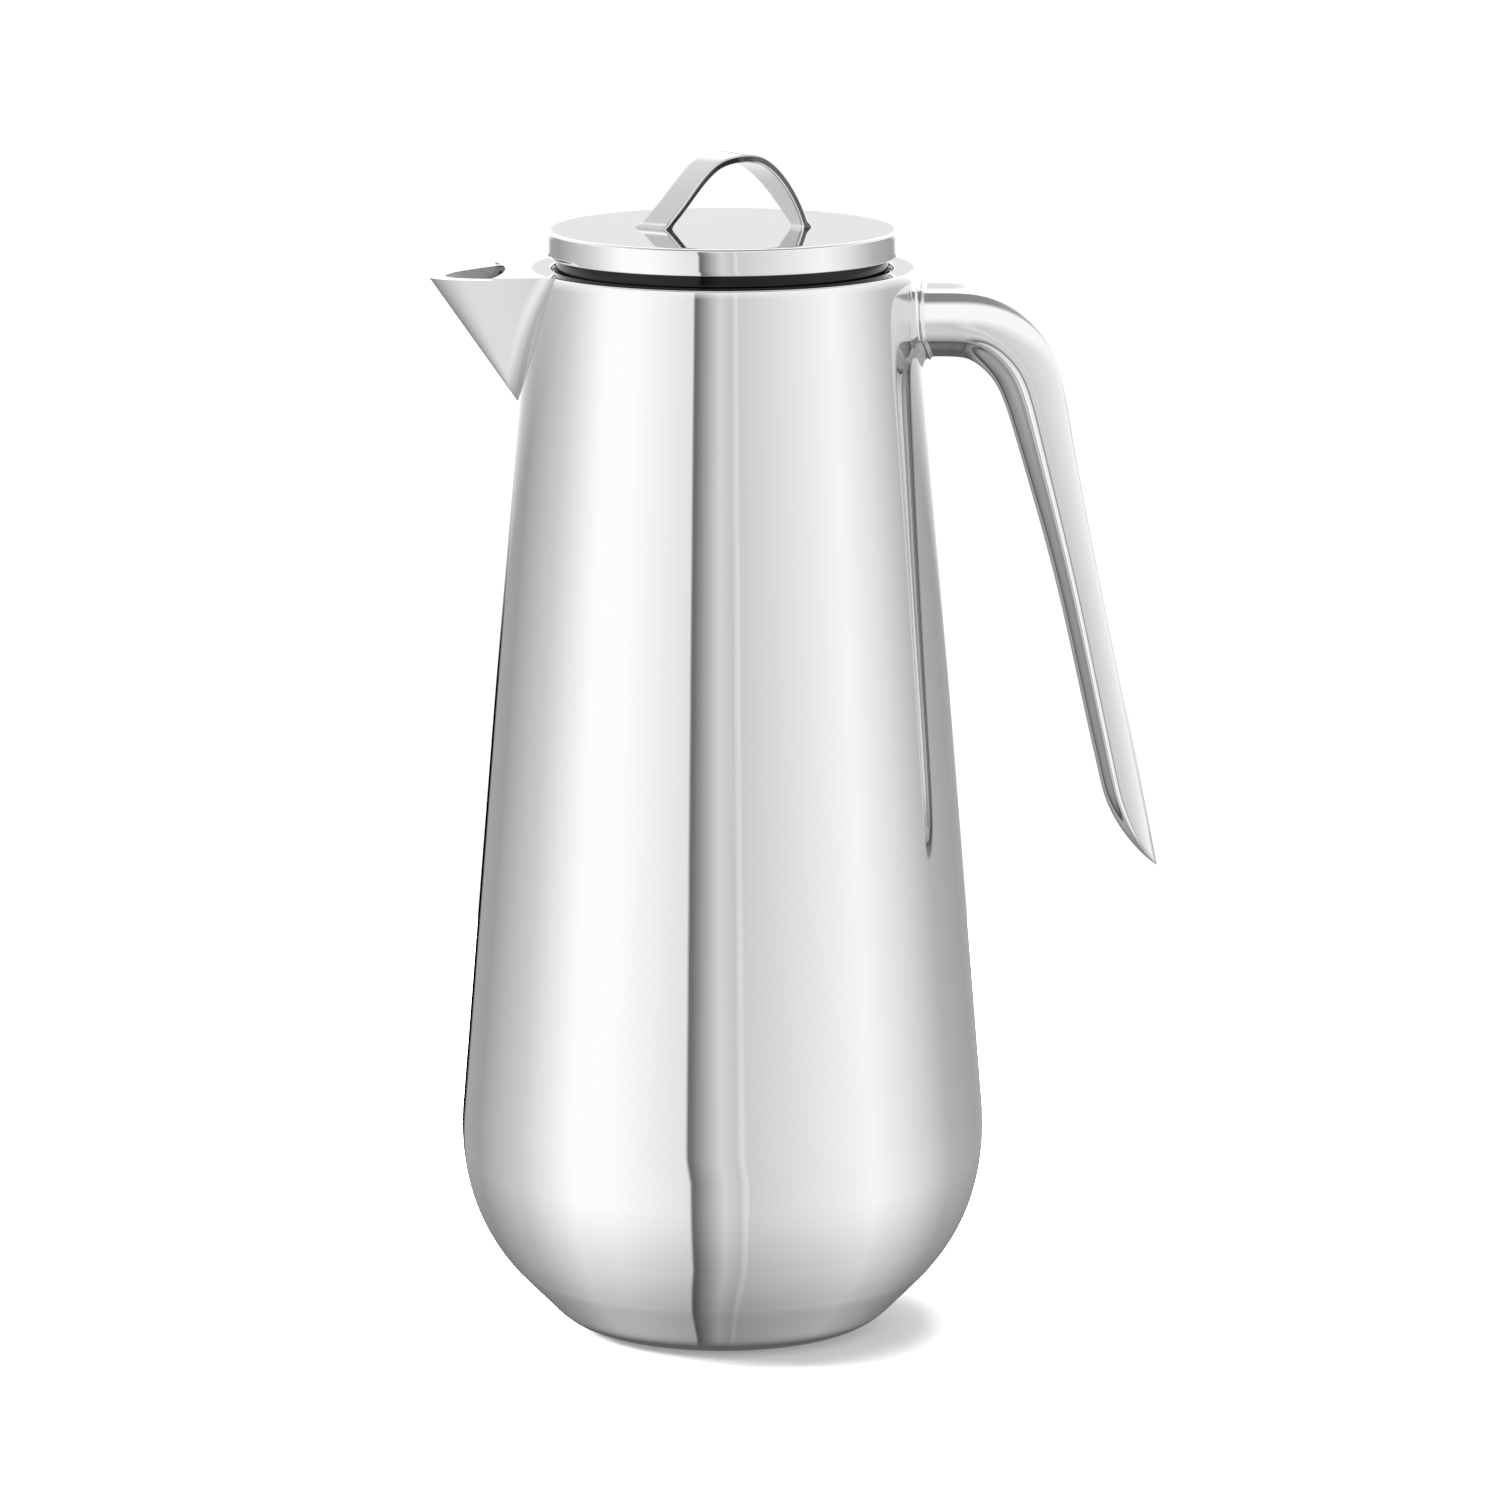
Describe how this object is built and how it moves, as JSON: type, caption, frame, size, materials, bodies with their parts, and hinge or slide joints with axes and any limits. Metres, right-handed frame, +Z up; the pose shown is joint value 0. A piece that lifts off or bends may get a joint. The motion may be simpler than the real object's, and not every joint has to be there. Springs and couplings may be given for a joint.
{
  "type": "coffee pot",
  "caption": "Tall double-wall steel coffee pot with a pointed spout, an open curved handle and a lift-off disc lid with a ribbon loop, whose stopper turns to shut the pour window.",
  "frame": {"origin": "centre of the base's flat face, on the surface that the pot stands on", "axes": "+Z up along the pot's axis, -X towards the spout's tip, +X towards the handle"},
  "size_m": [0.1736, 0.1252, 0.2841],
  "materials": {
    "polished_steel": "mirror-polished stainless steel",
    "drawn_steel": "drawn stainless steel, satin",
    "black_plastic": "moulded glossy black plastic",
    "silicone": "moulded black silicone",
    "copper": "bright copper foil",
    "foam": "closed-cell foam"
  },
  "bodies": {
    "pot": {"outer_shell": "polished_steel", "base_plate": "drawn_steel", "base_pad": "silicone", "evacuation_seal": "drawn_steel", "inner_liner": "drawn_steel", "liner_bottom": "drawn_steel", "copper_foil": "copper", "getter": "drawn_steel", "shoulder_ring": "drawn_steel", "spout": "polished_steel", "spout_cover": "polished_steel", "spout_seal": "silicone", "handle": "polished_steel", "handle_root_ring": "polished_steel", "collar_gasket": "silicone", "pour_collar": "black_plastic"},
    "seal": {"mouth_seal": "silicone"},
    "lid": {"lid_cap": "polished_steel", "lid_core": "black_plastic", "lid_gasket": "silicone", "lid_loop": "polished_steel", "loop_studs": "drawn_steel", "loop_nuts": "drawn_steel", "stopper_body": "black_plastic", "stopper_base": "black_plastic", "stopper_foam": "foam", "stopper_screws": "drawn_steel"}
  },
  "joints": [
    {"name": "lid_lift", "type": "slide", "parent": "pot", "child": "seal", "axis": [0, 0, 1], "range_m": [0, 0.07]},
    {"name": "lid_turn", "type": "hinge", "parent": "seal", "child": "lid", "pos_m": [0, 0, 0.22], "axis": [0, 0, 1], "range_deg": [-60, 0]}
  ]
}
